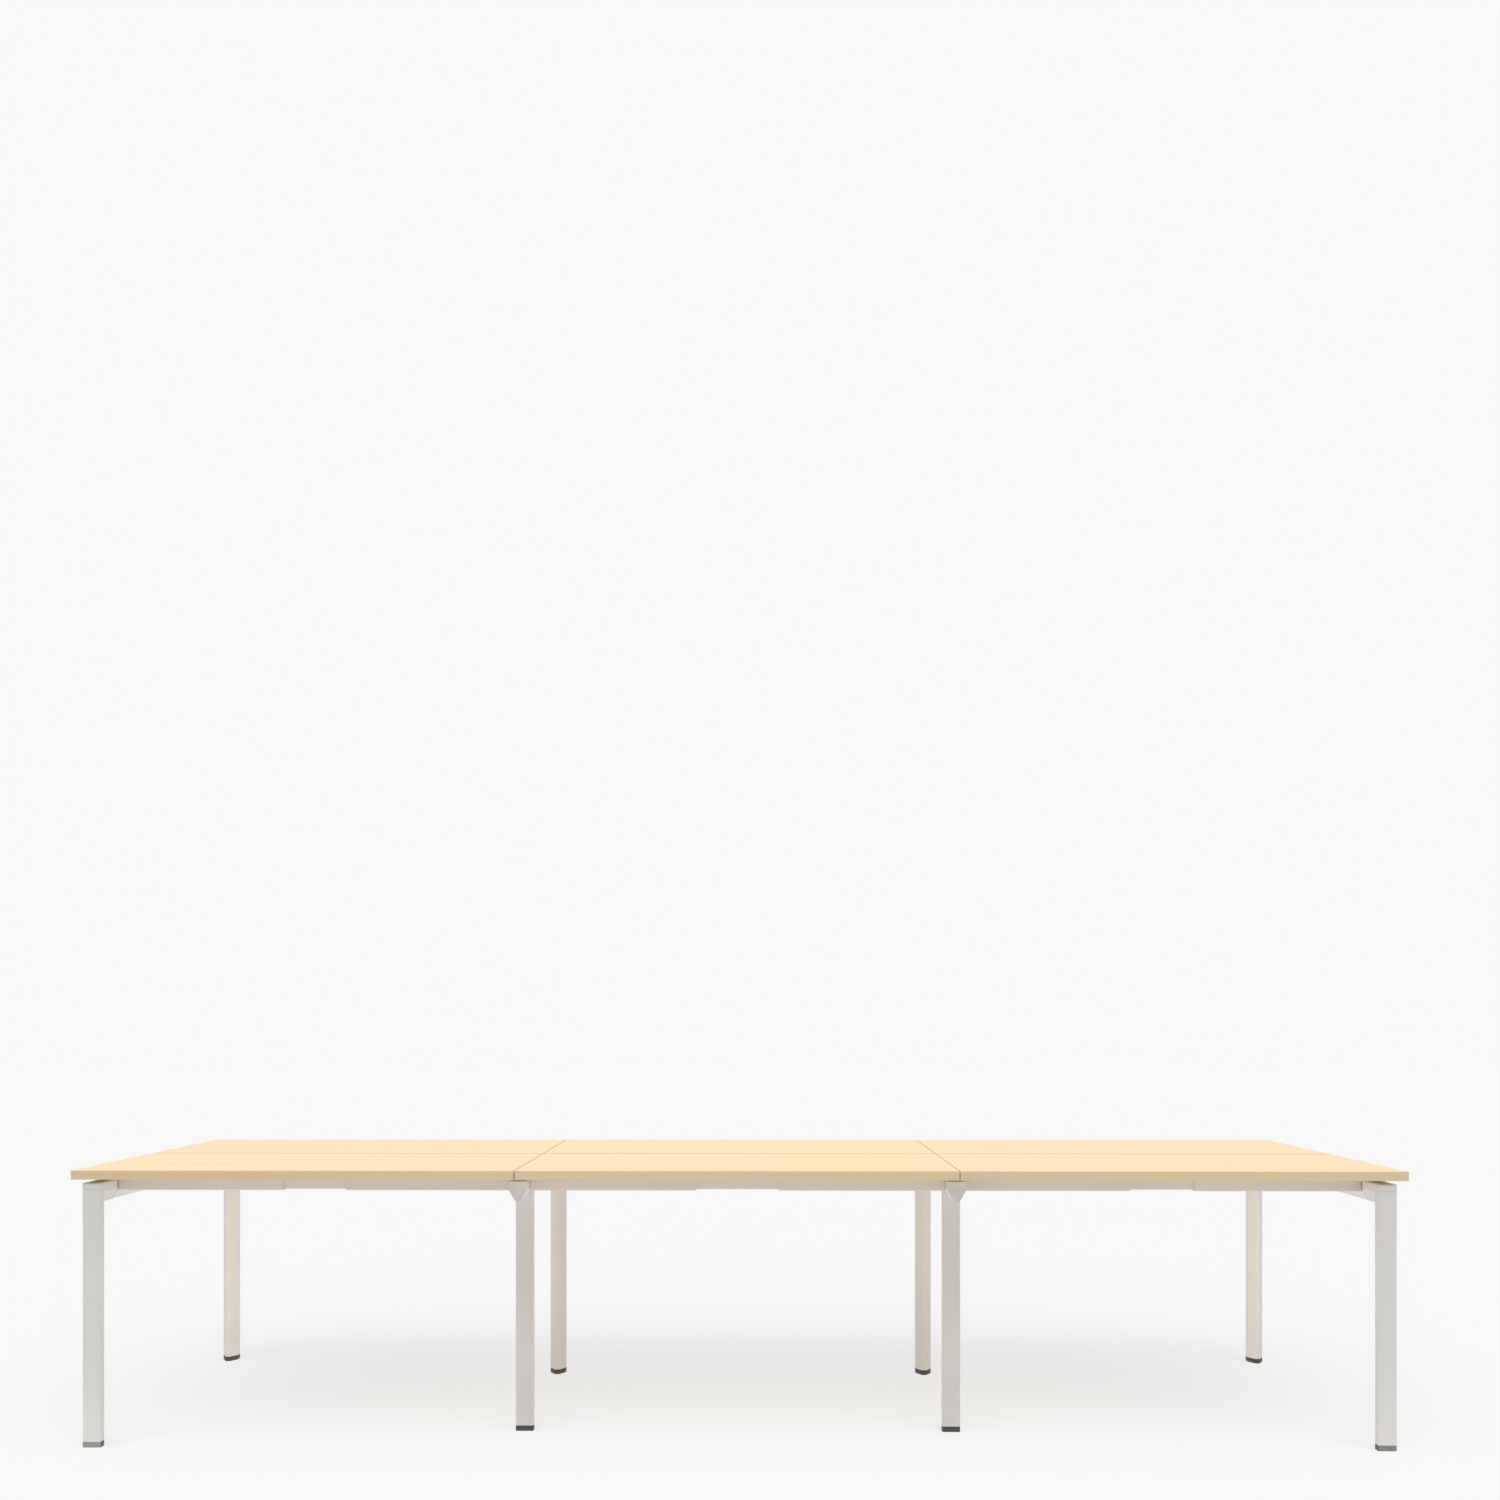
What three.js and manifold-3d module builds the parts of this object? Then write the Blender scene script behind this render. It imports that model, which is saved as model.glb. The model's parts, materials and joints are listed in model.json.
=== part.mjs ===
// Six-place bench table: three bays of two tops on four leg frames joined by telescopic rails.
// Millimetres, +Z up. The origin is on the floor under the middle of the table.
// +X runs along the table, -Y is the front row of seats and +Y the back row.

import * as THREE from 'three';
import { mergeVertices } from 'three/addons/utils/BufferGeometryUtils.js';
import Module from 'manifold-3d';

const wasm = await Module();
wasm.setup();

// Whole table
const BAY_LENGTH = 1200;
const TABLE_LENGTH = 3 * BAY_LENGTH;
const TABLE_DEPTH = 1200;
const TABLE_HEIGHT = 750;
const CONTACT_GAP = 0.3;
const MERGE_TOLERANCE = 1e-4;

// Tops
const TOP_THICKNESS = 25;
const CROSS_JOINT = 3;
const LONG_JOINT = 8;
const TOP_ARRIS = 1;
const TOP_CORNER_ROUND = 2.5;
const TOP_UNDERSIDE = TABLE_HEIGHT - TOP_THICKNESS;

// V section of the legs and crossbeams: a wide flat face, straight sides, then a taper to a narrow nose
const SECTION_WIDTH = 50;
const SECTION_DEPTH = 55;
const SECTION_STRAIGHT = 24;
const SECTION_NOSE = 14;
const SECTION_WALL = 2.5;
const CORNER_ROUND = 4;
const SHOULDER_ROUND = 7;
const NOSE_ROUND = 4;
const ROUND_STEPS = 2;

// Leg frames
const FRAME_TOP = TOP_UNDERSIDE - 10;
const END_FRAME_X = TABLE_LENGTH / 2 - 55;
const MIDDLE_FRAME_X = BAY_LENGTH / 2;
const END_LEG_SETBACK = 6;
const MIDDLE_LEG_SETBACK = 200;
const MIDDLE_BEAM_SETBACK = 70;
const MIDDLE_LEG_TOP = 688;

// Corner castings of the end frames
const CASTING_PROUD = 0.8;
const CASTING_HEAD = 17;
const CASTING_ARM = 114;
const CASTING_CORNER_ROUND = 6;
const CASTING_EDGE_ROUND = 0.5;

// Gaskets between the castings and the end crossbeams
const GASKET_THICKNESS = 5;

// End caps of the middle crossbeams
const CAP_THICKNESS = 4;
const CAP_BEVEL = 0.8;

// Levelling feet
const FOOT_HEIGHT = 15;
const FOOT_BEVEL = 1;
const STUD_RADIUS = 5;
const STUD_TOP = 45;
const STUD_INSET = 22;
const STUD_SEGMENTS = 12;
const PLUG_TOP = 36;
const BORE_RADIUS = STUD_RADIUS + CONTACT_GAP;
const LEG_BOTTOM = FOOT_HEIGHT + CONTACT_GAP;

// Telescopic rails, and the one-piece rail under the long joint
const RAIL_SIZE = 40;
const RAIL_WALL = 2.5;
const RAIL_ROUND = 3;
const RAIL_SETBACK = 125;
const SLEEVE_LENGTH = 460;
const INNER_SIZE = 33;
const INNER_ROUND = 2.5;
const INNER_LENGTH = 530;
const CENTRE_RAIL_WIDTH = 60;
const END_PLATE = 4;
const HOOK_LENGTH = 20;
const HOOK_THICKNESS = 3;
const BOLT_HOLE_RADIUS = 4.5;
const BOLT_HOLE_HEIGHT = RAIL_SIZE / 3;
const RAIL_TOP = TOP_UNDERSIDE - CONTACT_GAP;
const RAIL_BOTTOM = RAIL_TOP - RAIL_SIZE;
const HOOK_BOTTOM = FRAME_TOP + CONTACT_GAP;

const AXIS_X = new THREE.Vector3(1, 0, 0);
const AXIS_Y = new THREE.Vector3(0, 1, 0);
const AXIS_Z = new THREE.Vector3(0, 0, 1);

const material = {
  melamine: new THREE.MeshStandardMaterial({ color: 0xf8e0bb, roughness: 0.5, metalness: 0 }),
  powderCoat: new THREE.MeshStandardMaterial({ color: 0xe9e7e2, roughness: 0.45, metalness: 0.1 }),
  rail: new THREE.MeshStandardMaterial({ color: 0xe4dfd8, roughness: 0.5, metalness: 0.1 }),
  endCap: new THREE.MeshStandardMaterial({ color: 0xe6e2dc, roughness: 0.5, metalness: 0 }),
  footPlastic: new THREE.MeshStandardMaterial({ color: 0x55554f, roughness: 0.6, metalness: 0 }),
};

// ---------- outlines ----------

function pointTowards(from, to, distance) {
  const step = new THREE.Vector2(to.x - from.x, to.y - from.y).setLength(distance);
  return step.add(new THREE.Vector2(from.x, from.y));
}

// A closed outline through the given corners, each softened by its own round.
function roundedOutline(corners) {
  const outline = new THREE.Shape();
  corners.forEach((corner, index) => {
    const before = corners[(index + corners.length - 1) % corners.length];
    const after = corners[(index + 1) % corners.length];
    const start = pointTowards(corner, before, corner.round);
    const end = pointTowards(corner, after, corner.round);
    if (index === 0) {
      outline.moveTo(start.x, start.y);
    } else {
      outline.lineTo(start.x, start.y);
    }
    outline.quadraticCurveTo(corner.x, corner.y, end.x, end.y);
  });
  outline.closePath();
  return outline;
}

function rectangleOutline(width, height, round) {
  return roundedOutline([
    { x: -width / 2, y: -height / 2, round },
    { x: width / 2, y: -height / 2, round },
    { x: width / 2, y: height / 2, round },
    { x: -width / 2, y: height / 2, round },
  ]);
}

// The V section with its wide face on y = 0 and its nose at y = SECTION_DEPTH.
// A positive inset gives the bore of a tube and a negative one a slightly larger section.
function sectionOutline(inset = 0) {
  const taperIn = (SECTION_WIDTH - SECTION_NOSE) / 2;
  const taperDeep = SECTION_DEPTH - SECTION_STRAIGHT;
  const taperLength = Math.hypot(taperIn, taperDeep);
  const halfWidth = SECTION_WIDTH / 2 - inset;
  const halfNose = SECTION_NOSE / 2 - (inset * (taperLength - taperIn)) / taperDeep;
  const shoulder = SECTION_STRAIGHT - (inset * (taperLength - taperDeep)) / taperIn;
  const rightSide = [
    { x: halfWidth, y: inset, round: CORNER_ROUND },
    { x: halfWidth, y: shoulder, round: SHOULDER_ROUND },
    { x: halfNose, y: SECTION_DEPTH - inset, round: NOSE_ROUND },
  ];
  const leftSide = rightSide.map(({ x, y, round }) => ({ x: -x, y, round })).reverse();
  return roundedOutline([...rightSide, ...leftSide]);
}

// ---------- solids ----------

function extrude(outline, length, bevel = 0) {
  return new THREE.ExtrudeGeometry(outline, {
    depth: length - 2 * bevel,
    curveSegments: ROUND_STEPS,
    bevelEnabled: bevel > 0,
    bevelThickness: bevel,
    bevelSize: bevel,
    bevelOffset: -bevel,
    bevelSegments: 1,
  }).translate(0, 0, bevel);
}

function toSolid(geometry) {
  geometry.deleteAttribute('normal');
  geometry.deleteAttribute('uv');
  const merged = mergeVertices(geometry, MERGE_TOLERANCE);
  const vertProperties = new Float32Array(merged.attributes.position.array);
  const triVerts = new Uint32Array(merged.index.array);
  return new wasm.Manifold(new wasm.Mesh({ numProp: 3, vertProperties, triVerts }));
}

function toGeometry(solid) {
  const { vertProperties, triVerts } = solid.getMesh();
  const geometry = new THREE.BufferGeometry();
  geometry.setAttribute('position', new THREE.BufferAttribute(vertProperties, 3));
  geometry.setIndex(new THREE.BufferAttribute(triVerts, 1));
  geometry.computeVertexNormals();
  return geometry;
}

// Turns an outline extruded along Z into one that lies in the YZ plane and runs along X.
function alongX(geometry) {
  return geometry.applyMatrix4(new THREE.Matrix4().makeBasis(AXIS_Y, AXIS_Z, AXIS_X));
}

// Turns an upright section bar into one that runs along Y with its wide face up.
function alongY(geometry) {
  return geometry.rotateX(-Math.PI / 2);
}

function sectionBar(length, inset = 0) {
  return extrude(sectionOutline(inset), length);
}

function uprightCylinder(radius, height) {
  return new THREE.CylinderGeometry(radius, radius, height, STUD_SEGMENTS)
    .rotateX(Math.PI / 2)
    .translate(0, 0, height / 2);
}

function box(sizeX, sizeY, sizeZ) {
  return new THREE.BoxGeometry(sizeX, sizeY, sizeZ).translate(sizeX / 2, 0, sizeZ / 2);
}

// ---------- sub-parts, each in its own frame ----------

function topGeometry(length, depth) {
  return extrude(rectangleOutline(length, depth, TOP_CORNER_ROUND), TOP_THICKNESS, TOP_ARRIS);
}

// A leg blank standing at y = 0 with its wide face towards -Y: a tube whose foot end is
// closed by a plug, bored for the stud of the levelling foot.
function legBlank(top) {
  const body = toSolid(sectionBar(top - LEG_BOTTOM).translate(0, 0, LEG_BOTTOM));
  const hollow = toSolid(sectionBar(top, SECTION_WALL).translate(0, 0, PLUG_TOP));
  const bore = toSolid(uprightCylinder(BORE_RADIUS, PLUG_TOP + 1).translate(0, STUD_INSET, 0));
  return body.subtract(hollow).subtract(bore);
}

// Side view of the corner casting's envelope, with y inwards and z up from the frame's outer corner:
// a head over the leg, a mitre down to the inner corner, and an arm along the crossbeam.
function castingEnvelope() {
  const below = SECTION_DEPTH + CASTING_PROUD;
  const outline = roundedOutline([
    { x: -CASTING_PROUD, y: -CASTING_HEAD, round: CASTING_EDGE_ROUND },
    { x: CASTING_HEAD, y: -CASTING_HEAD, round: CASTING_EDGE_ROUND },
    { x: below, y: -below, round: CASTING_EDGE_ROUND },
    { x: CASTING_ARM, y: -below, round: CASTING_EDGE_ROUND },
    { x: CASTING_ARM, y: CASTING_PROUD, round: CASTING_EDGE_ROUND },
    { x: -CASTING_PROUD, y: CASTING_PROUD, round: CASTING_CORNER_ROUND },
  ]);
  return toSolid(alongX(extrude(outline, 2 * SECTION_WIDTH)).translate(-SECTION_WIDTH, 0, 0));
}

// The space above the mitre, kept clear of the leg.
function mitreCutter() {
  const reach = 2 * SECTION_DEPTH;
  const drop = CONTACT_GAP * Math.SQRT2;
  const outline = new THREE.Shape([
    new THREE.Vector2(-reach, -CASTING_HEAD - drop),
    new THREE.Vector2(CASTING_HEAD, -CASTING_HEAD - drop),
    new THREE.Vector2(reach, -reach - drop),
    new THREE.Vector2(reach, reach),
    new THREE.Vector2(-reach, reach),
  ]);
  return toSolid(alongX(extrude(outline, 2 * SECTION_WIDTH)).translate(-SECTION_WIDTH, 0, 0));
}

function castingGeometry() {
  const uprightLength = 2 * SECTION_DEPTH;
  const upright = sectionBar(uprightLength, -CASTING_PROUD).translate(0, 0, CASTING_PROUD - uprightLength);
  const armLength = CASTING_ARM + CASTING_PROUD;
  const arm = alongY(sectionBar(armLength, -CASTING_PROUD)).translate(0, -CASTING_PROUD, 0);
  return toGeometry(toSolid(upright).add(toSolid(arm)).intersect(castingEnvelope()));
}

function endLegGeometry() {
  const cutter = mitreCutter().translate([0, 0, FRAME_TOP]);
  return toGeometry(legBlank(FRAME_TOP).subtract(cutter));
}

// A middle leg is notched at its top to hold the V section of the crossbeam.
function middleLegGeometry() {
  const beam = alongY(sectionBar(4 * SECTION_DEPTH, -CONTACT_GAP)).translate(0, -SECTION_DEPTH, FRAME_TOP);
  return toGeometry(legBlank(MIDDLE_LEG_TOP).subtract(toSolid(beam)));
}

// A crossbeam centred on y = 0, with its wide face up on z = 0.
function crossbeamGeometry(length) {
  const outer = toSolid(alongY(sectionBar(length)).translate(0, -length / 2, 0));
  const bore = toSolid(alongY(sectionBar(2 * length, SECTION_WALL)).translate(0, -length, 0));
  return toGeometry(outer.subtract(bore));
}

function gasketGeometry() {
  return alongY(extrude(sectionOutline(), GASKET_THICKNESS));
}

function capGeometry() {
  return alongY(extrude(sectionOutline(), CAP_THICKNESS, CAP_BEVEL));
}

function footGeometry() {
  const pad = toSolid(extrude(sectionOutline(), FOOT_HEIGHT, FOOT_BEVEL));
  const stud = toSolid(uprightCylinder(STUD_RADIUS, STUD_TOP - 1).translate(0, STUD_INSET, 1));
  return toGeometry(pad.add(stud));
}

function railTube(width, height, length, round) {
  const outer = toSolid(alongX(extrude(rectangleOutline(width, height, round), length)));
  const boreOutline = rectangleOutline(width - 2 * RAIL_WALL, height - 2 * RAIL_WALL, round / 2);
  const bore = toSolid(alongX(extrude(boreOutline, 2 * length)).translate(-length / 2, 0, 0));
  return outer.subtract(bore);
}

// The end plate of a rail, with a lip that hangs on the crossbeam and a hole for the bolt into it.
// The rail's end is x = 0.
function endHook(width) {
  const plate = toSolid(box(END_PLATE, width, RAIL_SIZE));
  const lip = toSolid(box(HOOK_LENGTH + END_PLATE, width, HOOK_THICKNESS)
    .translate(-HOOK_LENGTH, 0, HOOK_BOTTOM - RAIL_BOTTOM));
  const drill = uprightCylinder(BOLT_HOLE_RADIUS, 4 * END_PLATE).rotateY(Math.PI / 2);
  const boltHole = toSolid(drill.translate(-2 * END_PLATE, 0, BOLT_HOLE_HEIGHT));
  return plate.add(lip).subtract(boltHole);
}

// A sleeve from its hooked end at x = 0 to its open end.
function sleeveGeometry() {
  const tube = railTube(RAIL_SIZE, RAIL_SIZE, SLEEVE_LENGTH, RAIL_ROUND).translate([0, 0, RAIL_SIZE / 2]);
  return toGeometry(tube.add(endHook(RAIL_SIZE)));
}

function innerRailGeometry() {
  const tube = railTube(INNER_SIZE, INNER_SIZE, INNER_LENGTH, INNER_ROUND);
  return toGeometry(tube.translate([-INNER_LENGTH / 2, 0, RAIL_SIZE / 2]));
}

function centreRailGeometry(length) {
  const tube = railTube(CENTRE_RAIL_WIDTH, RAIL_SIZE, length, RAIL_ROUND).translate([0, 0, RAIL_SIZE / 2]);
  const farHook = endHook(CENTRE_RAIL_WIDTH).rotate([0, 0, 180]).translate([length, 0, 0]);
  return toGeometry(tube.add(endHook(CENTRE_RAIL_WIDTH)).add(farHook));
}

// ---------- assembly ----------

const table = new THREE.Group();

function place(name, geometry, finish, parent, position = [0, 0, 0], turn = 0) {
  const mesh = new THREE.Mesh(geometry, finish);
  mesh.name = name;
  mesh.position.set(...position);
  mesh.rotation.z = turn;
  parent.add(mesh);
}

const rows = [
  { name: 'front', side: -1, turn: 0 },
  { name: 'back', side: 1, turn: Math.PI },
];

// The leg and the levelling foot on one side of a frame.
function addLegSide(frame, frameName, row, legGeometry, setback) {
  const standing = [0, row.side * (TABLE_DEPTH / 2 - setback), 0];
  place(`leg_${frameName}_${row.name}`, legGeometry, material.powderCoat, frame, standing, row.turn);
  place(`foot_${frameName}_${row.name}`, footGeometry(), material.footPlastic, frame, standing, row.turn);
}

function addCrossbeam(frame, frameName, endSetback) {
  const beam = crossbeamGeometry(TABLE_DEPTH - 2 * (endSetback + CONTACT_GAP));
  place(`crossbeam_${frameName}`, beam, material.powderCoat, frame, [0, 0, FRAME_TOP]);
}

function addEndFrame(frameName, frameX) {
  const frame = new THREE.Group();
  const gasketSetback = END_LEG_SETBACK + CASTING_ARM + CONTACT_GAP;
  frame.position.x = frameX;
  for (const row of rows) {
    addLegSide(frame, frameName, row, endLegGeometry(), END_LEG_SETBACK);
    const corner = [0, row.side * (TABLE_DEPTH / 2 - END_LEG_SETBACK), FRAME_TOP];
    const castingName = `casting_${frameName}_${row.name}`;
    place(castingName, castingGeometry(), material.powderCoat, frame, corner, row.turn);
    const seam = [0, row.side * (TABLE_DEPTH / 2 - gasketSetback), FRAME_TOP];
    const gasketName = `gasket_${frameName}_${row.name}`;
    place(gasketName, gasketGeometry(), material.footPlastic, frame, seam, row.turn);
  }
  addCrossbeam(frame, frameName, gasketSetback + GASKET_THICKNESS);
  table.add(frame);
}

function addMiddleFrame(frameName, frameX) {
  const frame = new THREE.Group();
  frame.position.x = frameX;
  for (const row of rows) {
    addLegSide(frame, frameName, row, middleLegGeometry(), MIDDLE_LEG_SETBACK);
    const beamEnd = [0, row.side * (TABLE_DEPTH / 2 - MIDDLE_BEAM_SETBACK), FRAME_TOP];
    place(`cap_${frameName}_${row.name}`, capGeometry(), material.endCap, frame, beamEnd, row.turn);
  }
  addCrossbeam(frame, frameName, MIDDLE_BEAM_SETBACK + CAP_THICKNESS);
  table.add(frame);
}

// The rails of one bay hang between the inner faces of two neighbouring crossbeams.
function addBayRails(bayName, leftFrameX, rightFrameX) {
  const startX = leftFrameX + SECTION_WIDTH / 2 + CONTACT_GAP;
  const endX = rightFrameX - SECTION_WIDTH / 2 - CONTACT_GAP;
  for (const row of rows) {
    const railY = row.side * (TABLE_DEPTH / 2 - RAIL_SETBACK - RAIL_SIZE / 2);
    const railName = `rail_${bayName}_${row.name}`;
    const start = [startX, railY, RAIL_BOTTOM];
    const middle = [(startX + endX) / 2, railY, RAIL_BOTTOM];
    const end = [endX, railY, RAIL_BOTTOM];
    place(`${railName}_sleeve_left`, sleeveGeometry(), material.rail, table, start);
    place(`${railName}_inner`, innerRailGeometry(), material.rail, table, middle);
    place(`${railName}_sleeve_right`, sleeveGeometry(), material.rail, table, end, Math.PI);
  }
  const centreRail = centreRailGeometry(endX - startX);
  place(`rail_${bayName}_centre`, centreRail, material.rail, table, [startX, 0, RAIL_BOTTOM]);
}

// Each row of a bay has one top. Half a joint is left on every side that meets another top.
function addBayTops(bayName, bayIndex) {
  const bayStart = bayIndex * BAY_LENGTH - TABLE_LENGTH / 2;
  const leftX = bayStart + (bayIndex > 0 ? CROSS_JOINT / 2 : 0);
  const rightX = bayStart + BAY_LENGTH - (bayIndex < 2 ? CROSS_JOINT / 2 : 0);
  const depth = (TABLE_DEPTH - LONG_JOINT) / 2;
  for (const row of rows) {
    const middleY = row.side * (TABLE_DEPTH / 2 - depth / 2);
    const position = [(leftX + rightX) / 2, middleY, TOP_UNDERSIDE];
    const top = topGeometry(rightX - leftX, depth);
    place(`top_${bayName}_${row.name}`, top, material.melamine, table, position);
  }
}

addEndFrame('left_end', -END_FRAME_X);
addMiddleFrame('left_middle', -MIDDLE_FRAME_X);
addMiddleFrame('right_middle', MIDDLE_FRAME_X);
addEndFrame('right_end', END_FRAME_X);

addBayRails('left', -END_FRAME_X, -MIDDLE_FRAME_X);
addBayRails('centre', -MIDDLE_FRAME_X, MIDDLE_FRAME_X);
addBayRails('right', MIDDLE_FRAME_X, END_FRAME_X);

['left', 'centre', 'right'].forEach(addBayTops);

export default table;
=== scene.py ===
"""The looks of a six-place bench table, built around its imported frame. Metres, +Z up, -Y is the front.

Three bays of two tops lie on telescopic rails between four leg frames. Every piece is built
from the box of the CAD node that it stands for.
"""
import json
import math
import random

import bmesh
import bpy
from mathutils import Matrix, Vector

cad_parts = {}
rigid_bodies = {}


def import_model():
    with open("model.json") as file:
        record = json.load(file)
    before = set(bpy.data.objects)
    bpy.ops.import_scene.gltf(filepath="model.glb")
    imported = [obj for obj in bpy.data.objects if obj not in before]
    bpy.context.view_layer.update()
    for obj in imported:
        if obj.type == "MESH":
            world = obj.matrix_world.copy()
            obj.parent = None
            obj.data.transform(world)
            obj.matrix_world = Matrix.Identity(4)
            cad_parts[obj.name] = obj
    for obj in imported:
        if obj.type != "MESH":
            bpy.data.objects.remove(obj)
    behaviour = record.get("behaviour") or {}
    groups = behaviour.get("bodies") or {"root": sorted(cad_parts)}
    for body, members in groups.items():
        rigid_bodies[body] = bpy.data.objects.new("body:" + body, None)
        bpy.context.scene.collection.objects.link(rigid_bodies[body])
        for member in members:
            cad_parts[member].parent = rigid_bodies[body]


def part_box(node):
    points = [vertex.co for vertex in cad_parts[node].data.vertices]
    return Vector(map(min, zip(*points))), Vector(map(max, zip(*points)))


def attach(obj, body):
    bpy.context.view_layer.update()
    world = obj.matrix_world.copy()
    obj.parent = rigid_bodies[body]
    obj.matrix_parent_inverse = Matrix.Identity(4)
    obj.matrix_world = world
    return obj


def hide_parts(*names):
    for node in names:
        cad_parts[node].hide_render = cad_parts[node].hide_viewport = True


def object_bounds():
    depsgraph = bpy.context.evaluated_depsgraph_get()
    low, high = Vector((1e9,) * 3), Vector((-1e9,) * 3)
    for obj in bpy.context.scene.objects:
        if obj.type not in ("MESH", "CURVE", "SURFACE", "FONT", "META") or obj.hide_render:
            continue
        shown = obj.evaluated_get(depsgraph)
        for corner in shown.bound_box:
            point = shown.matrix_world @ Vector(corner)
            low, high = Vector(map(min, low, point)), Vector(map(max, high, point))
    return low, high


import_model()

CAD_LOW, CAD_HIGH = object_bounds()

SIDES = {"front": -1, "back": 1}
END_FRAMES = ("left_end", "right_end")
MIDDLE_FRAMES = ("left_middle", "right_middle")
BAYS = ("left", "centre", "right")
SLEEVES = {"sleeve_left": 1, "sleeve_right": -1}
TABLE = "table"

# V section of legs, crossbeams, castings, caps and feet
STRAIGHT_SIDE = 0.024
NOSE_WIDTH = 0.014
SECTION_WALL = 0.0025
CORNER_RADIUS = 0.0035
SHOULDER_RADIUS = 0.009
NOSE_RADIUS = 0.004
ARC_STEPS = 6
GAP = 0.0003

# Broken edges
FINE_EDGE = 0.0004
SOFT_EDGE = 0.0006
SHARP_ANGLE = 50

# Leg and frame details
CASTING_PROUD = 0.0008
CASTING_HEAD = 0.017
CASTING_CORNER = 0.005
GASKET_PROUD = 0.0003
CAP_CHAMFER = 0.0003
CAP_RIM = 0.0012
PLUG_HEIGHT = 0.021
PLUG_RECESS = 0.001
WELD_RADIUS = 0.0013
WELD_RIPPLE = 0.0024
WELD_SWELL = (1.0, 0.93, 0.82)
WELD_SIDES = 8

# Foot details. A share is a part of the way from the outline to the stud's axis
FOOT_HEIGHT = 0.015
FOOT_RIM = 0.0012
TREAD_SHARE = 0.19
DISH_SHARE = 0.21
RECESS_SHARE = 0.23
DISH_DEPTH = 0.0008
GROOVE_DEPTH = 0.0006
GROOVE_LEVELS = (0.0040, 0.0036, 0.0028, 0.0024)
STUD_INSET = 0.022
STUD_AXIS = Vector((0, STUD_INSET))
STUD_ROOT = 0.001
STUD_RADIUS = 0.005
STUD_PITCH = 0.0015
STUD_SIDES = 20
THREAD_DEPTH = 0.0009
RINGS_PER_TURN = 6

# Board details
BAND_THICKNESS = 0.002
BAND_ARRIS = 0.0004
BOARD_CORNER = 0.0025
BAND_SEAM = 0.00012
BOARD_GLOSS = 0.06
CORE_SHADE = 0.965
BAND_SHADE = 1.02
# Painted shade: the edge band's strips in the long joint are darkened to stand for the shadow in the joint
JOINT_PAINTED_SHADE = 0.80

# Rail details
RAIL_RADIUS = 0.003
INNER_RAIL_RADIUS = 0.0025
RAIL_WALL = 0.0025
SLEEVE_LENGTH = 0.460
END_PLATE = 0.004
HOOK_THICKNESS = 0.003
CENTRE_HOOK = 0.020
LIP_INSET = 0.001
GUIDE_RADIUS = 0.0015
GUIDE_CLEARANCE = 0.0001
GUIDE_RECESS = 0.0004
GUIDE_REACH = 0.014
SCREW_PLACES = (0.100, 0.285)
SCREW_INSET = 0.013
SCREW_RADIUS = 0.006
SCREW_HEAD = 0.0013
SCREW_CROWN = 0.0016
SOCKET_SHARE = 0.42
SCREW_SIDES = 24

# Decor of the tops, each with red, green and blue
MAPLE_CREAM = (0.885, 0.697, 0.485)
MAPLE_STRAW = (0.882, 0.716, 0.462)
MAPLE_STREAK = (0.842, 0.628, 0.410)
MAPLE_ARCH = (0.790, 0.565, 0.350)
MAPLE_LINE = (0.790, 0.560, 0.345)
MAPLE_PORE = (0.640, 0.405, 0.220)


# ---------- outlines: closed lists of 2-D points, anticlockwise ----------

def fillet(corners):
    """The outline through (x, y, radius) corners, each rounded by a true arc."""
    outline = []
    for index, (x, y, radius) in enumerate(corners):
        corner = Vector((x, y))
        before = (Vector(corners[index - 1][:2]) - corner).normalized()
        after = (Vector(corners[(index + 1) % len(corners)][:2]) - corner).normalized()
        half = before.angle(after) / 2
        centre = corner + (before + after).normalized() * radius / math.sin(half)
        start = corner + before * radius / math.tan(half) - centre
        end = corner + after * radius / math.tan(half) - centre
        sweep = math.atan2(start.x * end.y - start.y * end.x, start.dot(end))
        for step in range(ARC_STEPS + 1):
            outline.append(centre + Matrix.Rotation(sweep * step / ARC_STEPS, 2) @ start)
    return outline


def inset(outline, distance):
    """The outline moved inwards by a distance, point for point."""
    moved = []
    for index, point in enumerate(outline):
        before = (point - outline[index - 1]).normalized()
        after = (outline[(index + 1) % len(outline)] - point).normalized()
        normal_before = Vector((-before.y, before.x))
        normal_after = Vector((-after.y, after.x))
        mitre = (normal_before + normal_after) / (1 + normal_before.dot(normal_after))
        moved.append(point + mitre * distance)
    return moved


def split_at(outline, axis, levels):
    """The outline with extra points where a coordinate passes each level."""
    result = []
    for index, point in enumerate(outline):
        following = outline[(index + 1) % len(outline)]
        span = following[axis] - point[axis]
        shares = [(level - point[axis]) / span for level in levels if abs(span) > 1e-9]
        result.append(point)
        result += [point.lerp(following, share) for share in sorted(shares) if 0.001 < share < 0.999]
    return result


def rectangle(low, high, radius):
    """A rectangle with rounded corners."""
    corners = [(low[0], low[1]), (high[0], low[1]), (high[0], high[1]), (low[0], high[1])]
    return fillet([(x, y, radius) for x, y in corners])


def circle(radius, count):
    """A circle round the origin, as a number of points."""
    turns = [2 * math.pi * index / count for index in range(count)]
    return [Vector((radius * math.cos(turn), radius * math.sin(turn))) for turn in turns]


def section(width, depth, grow=0.0):
    """The V section: x across, y inwards from the wide face at y = 0."""
    half, nose = width / 2, NOSE_WIDTH / 2
    right = [
        (half, 0, CORNER_RADIUS),
        (half, STRAIGHT_SIDE, SHOULDER_RADIUS),
        (nose, depth, NOSE_RADIUS),
    ]
    left = [(-x, y, radius) for x, y, radius in reversed(right)]
    return inset(fillet(right + left), -grow)


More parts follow.
